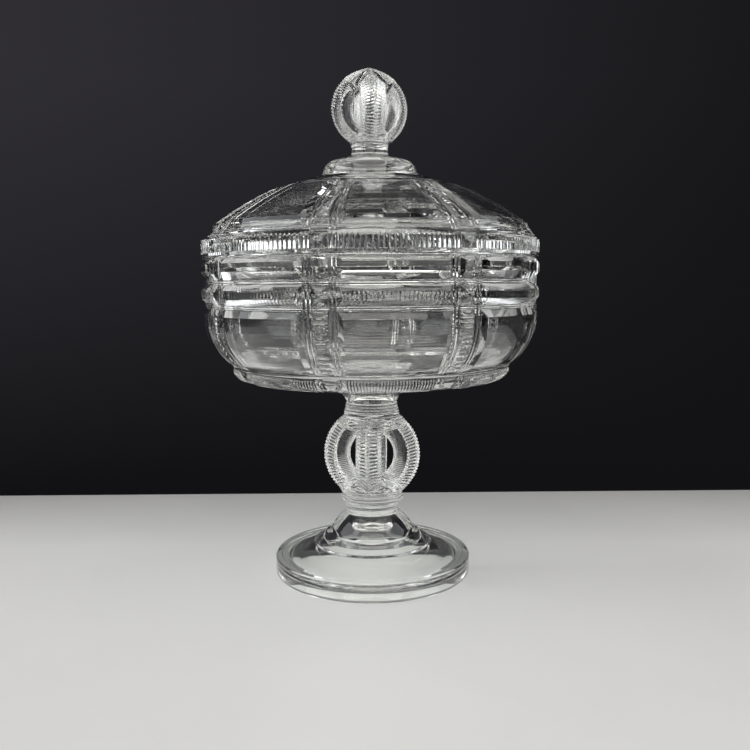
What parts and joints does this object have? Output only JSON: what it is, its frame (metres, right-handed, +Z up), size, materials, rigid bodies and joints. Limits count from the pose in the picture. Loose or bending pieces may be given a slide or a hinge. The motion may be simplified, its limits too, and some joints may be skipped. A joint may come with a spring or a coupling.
{
  "type": "covered candy dish",
  "caption": "Covered candy dish on a stem, clear pressed glass, with panelled bowl, loose cover, and open ball knop and finial.",
  "frame": {"origin": "centre of the foot's resting face, on the dish's axis", "axes": "+Z up along the axis of the dish; a panel of the bowl faces -Y"},
  "size_m": [0.165, 0.165, 0.2492],
  "materials": {
    "clear_glass": "gloss"
  },
  "bodies": {
    "dish": {"foot": "clear_glass", "foot_wafer": "clear_glass", "stem_knop": "clear_glass", "bowl_wafer": "clear_glass", "bowl": "clear_glass"},
    "lid": {"cover": "clear_glass", "finial": "clear_glass"}
  },
  "joints": [
    {"name": "cover_lift", "type": "slide", "parent": "dish", "child": "lid", "axis": [0, 0, 1], "range_m": [0, 0.03]}
  ]
}
